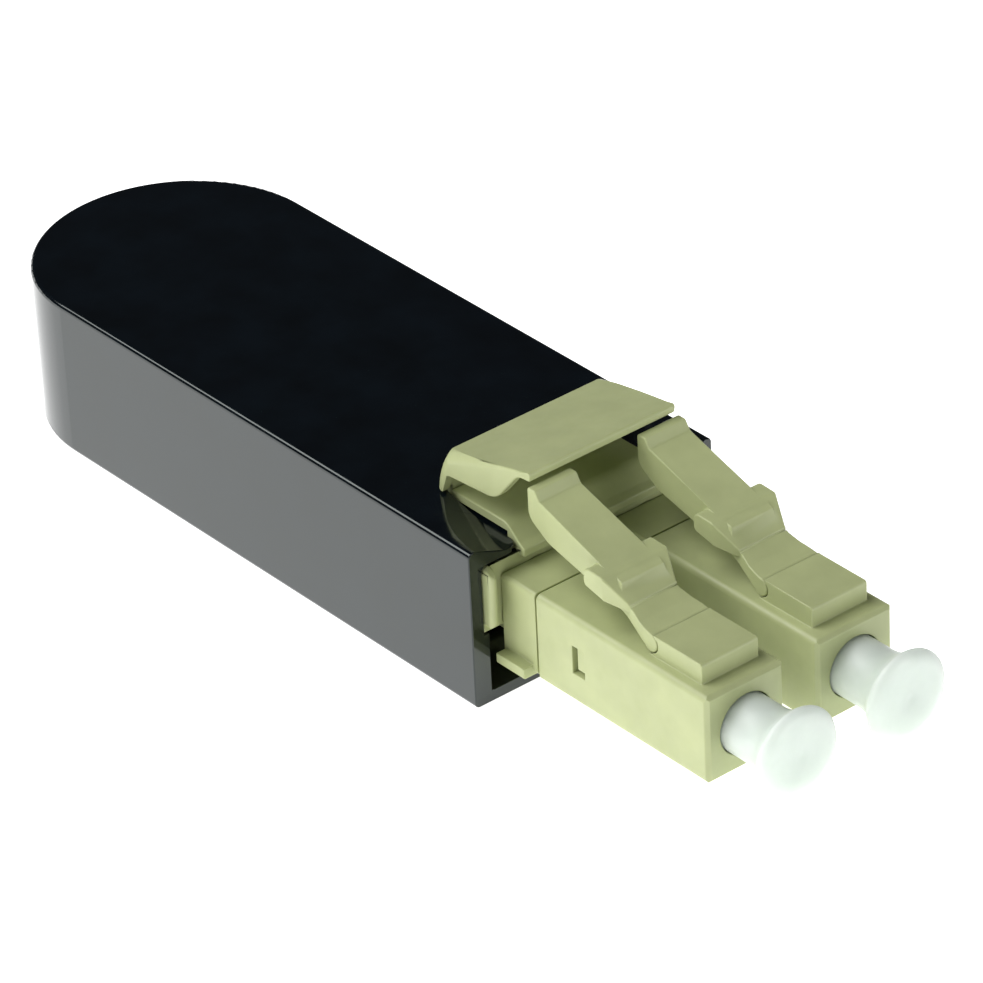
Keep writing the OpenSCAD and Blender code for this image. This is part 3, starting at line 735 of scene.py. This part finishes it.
class PLUG_OT_caps(bpy.types.Operator):
    """Turn the white dust caps: a hollow barrel that flares into a soft round grip"""

    bl_idname = "plug.caps"
    bl_label = "Dust caps"

    barrel: length("Barrel", "Diameter of the barrel", 2.85 * MM)
    bore: length("Bore", "Diameter of the hollow that takes the ferrule", 1.35 * MM)
    bore_depth: length("Bore depth", "How far the ferrule reaches in", 4.0 * MM)
    flare: length("Flare", "Length over which the barrel widens into the grip", 1.9 * MM)
    rim: length("Rim", "From the widest ring to the face", 0.42 * MM)
    shoulder: length("Shoulder", "How far the rounding of the rim reaches in over the face", 0.7 * MM)
    edge: length("End edge", "Rounding of the barrel's open end", 0.12 * MM)
    gate: length("Gate", "Radius of the shallow dimple that the moulding gate leaves", 0.4 * MM)
    sides: IntProperty(name="Sides", description="Facets round the cap", default=96, min=24, max=192)

    def section(self, whole, widest):
        """Distance from the barrel's end and radius, from the bore's bottom round to the face's middle."""
        barrel, bore, edge = self.barrel / 2.0, self.bore / 2.0, self.edge
        rim_x = whole - self.rim
        start = rim_x - self.flare
        line = [(self.bore_depth, 0.0), (self.bore_depth, bore), (0.0, bore), (0.0, barrel - edge),
                (0.3 * edge, barrel - 0.3 * edge), (edge, barrel), (start - 0.4 * MM, barrel)]
        bend = (Vector((start, barrel)), Vector((start + 0.75 * self.flare, barrel)),
                Vector((rim_x - 0.16 * self.flare, widest)), Vector((rim_x, widest)))
        line += [tuple(point) for point in interpolate_bezier(*bend, 22)]
        rim_steps = 12
        for i in range(1, rim_steps + 1):
            a = 0.5 * math.pi * i / rim_steps
            line.append((rim_x + self.rim * math.sin(a), widest - self.shoulder * (1.0 - math.cos(a))))
        dimple = ((0.0, 1.0), (0.05, 0.7), (0.125, 0.3), (0.15, 0.0))
        line += [(whole - deep * self.gate, out * self.gate) for deep, out in dimple]
        return line

    def execute(self, context):
        white = once("Milky white plastic", cap_finish)
        for side in SIDES:
            node = f"dust_cap_{side}"
            low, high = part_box(node)
            section = self.section(high.x - low.x, (high.z - low.z) / 2.0)
            middle = Vector((low.x, (low.y + high.y) / 2.0, (low.z + high.z) / 2.0))
            cap = turned(f"{node}_skin", section, middle, self.sides)
            dress(cap, node, white)
        return {"FINISHED"}


# ---- stage ----

LIT_POINT = Vector((0.0, 0.0, 0.004))


def area_light(name, place, size, watts):
    """A square soft light that faces the plug's middle."""
    data = bpy.data.lights.new(name, "AREA")
    data.shape = "SQUARE"
    data.size = size
    data.energy = watts
    light = bpy.data.objects.new(name, data)
    light.location = place
    light.rotation_euler = (LIT_POINT - Vector(place)).to_track_quat("-Z", "Y").to_euler()
    bpy.context.scene.collection.objects.link(light)


class PLUG_OT_stage(bpy.types.Operator):
    """Set the floor, the soft lights and the camera"""

    bl_idname = "plug.stage"
    bl_label = "Stage"

    def execute(self, context):
        stage = context.scene.plug_stage
        self.floor()
        self.lights(context, stage)
        self.camera(context, stage)
        context.scene.view_settings.view_transform = "Standard"
        return {"FINISHED"}

    def floor(self):
        """A plain floor, just under the plug's resting face, that reaches past every view."""
        bm = bmesh.new()
        bmesh.ops.create_grid(bm, x_segments=1, y_segments=1, size=4.0)
        mesh = bpy.data.meshes.new("studio_floor")
        bm.to_mesh(mesh)
        bm.free()
        floor = new_piece("studio_floor", mesh)
        floor.location.z = -0.01 * MM
        mesh.materials.append(once("Pale floor", floor_finish))

    def lights(self, context, stage):
        """Three soft lights, and a dim world round them."""
        area_light("key_light", (0.02, -0.32, 0.20), 0.34, stage.key)
        area_light("top_light", (-0.17, -0.19, 0.35), 0.34, stage.top)
        area_light("fill_light", (0.34, 0.12, 0.06), 0.2, stage.fill)
        world = bpy.data.worlds.new("Studio")
        world.use_nodes = True
        background = world.node_tree.nodes["Background"]
        background.inputs["Color"].default_value = (0.03, 0.03, 0.032, 1.0)
        background.inputs["Strength"].default_value = 1.0
        context.scene.world = world

    def camera(self, context, stage):
        """A long lens that looks down at the noses from the near side."""
        data = bpy.data.cameras.new("studio_camera")
        data.sensor_width = 36.0
        data.angle = stage.view_angle
        data.clip_start = 0.01
        data.clip_end = 20.0
        back = Vector((math.sin(stage.azimuth) * math.cos(stage.elevation),
                       -math.cos(stage.azimuth) * math.cos(stage.elevation),
                       math.sin(stage.elevation)))
        aim = Vector((stage.aim_x, stage.aim_y, stage.aim_z))
        turn = back.to_track_quat("Z", "Y").to_matrix()
        camera = bpy.data.objects.new("studio_camera", data)
        roll = Matrix.Rotation(-stage.roll, 3, "Z")
        camera.matrix_world = Matrix.Translation(aim + back * stage.distance) @ (turn @ roll).to_4x4()
        context.scene.collection.objects.link(camera)
        context.scene.camera = camera


class PLUG_PT_panel(bpy.types.Panel):
    """The plug's operators and settings"""

    bl_idname = "PLUG_PT_panel"
    bl_label = "Fibre loopback plug"
    bl_space_type = "VIEW_3D"
    bl_region_type = "UI"
    bl_category = "Plug"

    def draw(self, context):
        layout = self.layout
        for step in STEPS:
            layout.operator(step.bl_idname)
        for group in ("plug_edges", "plug_colours", "plug_stage"):
            settings = getattr(context.scene, group)
            box = layout.box()
            for name in settings.bl_rna.properties.keys():
                if name not in ("rna_type", "name"):
                    box.prop(settings, name)


STEPS = (PLUG_OT_stage, PLUG_OT_shell, PLUG_OT_clip, PLUG_OT_trigger, PLUG_OT_connectors,
         PLUG_OT_ferrules, PLUG_OT_springs, PLUG_OT_guides, PLUG_OT_fibre, PLUG_OT_caps)
GROUPS = {"plug_edges": PlugEdges, "plug_colours": PlugColours, "plug_stage": PlugStage}


def register():
    """Registers the settings, the operators and the panel."""
    for group in GROUPS.values():
        bpy.utils.register_class(group)
    for name, group in GROUPS.items():
        setattr(bpy.types.Scene, name, bpy.props.PointerProperty(type=group))
    for step in STEPS:
        bpy.utils.register_class(step)
    bpy.utils.register_class(PLUG_PT_panel)


def unregister():
    """Takes back all that register added."""
    bpy.utils.unregister_class(PLUG_PT_panel)
    for step in reversed(STEPS):
        bpy.utils.unregister_class(step)
    for name in GROUPS:
        delattr(bpy.types.Scene, name)
    for group in GROUPS.values():
        bpy.utils.unregister_class(group)


def main():
    """Builds the whole scene."""
    register()
    bpy.ops.plug.stage()
    bpy.ops.plug.shell()
    bpy.ops.plug.clip()
    bpy.ops.plug.trigger()
    bpy.ops.plug.connectors()
    bpy.ops.plug.ferrules()
    bpy.ops.plug.springs()
    bpy.ops.plug.guides()
    bpy.ops.plug.fibre()
    bpy.ops.plug.caps()


if __name__ == "__main__":
    main()
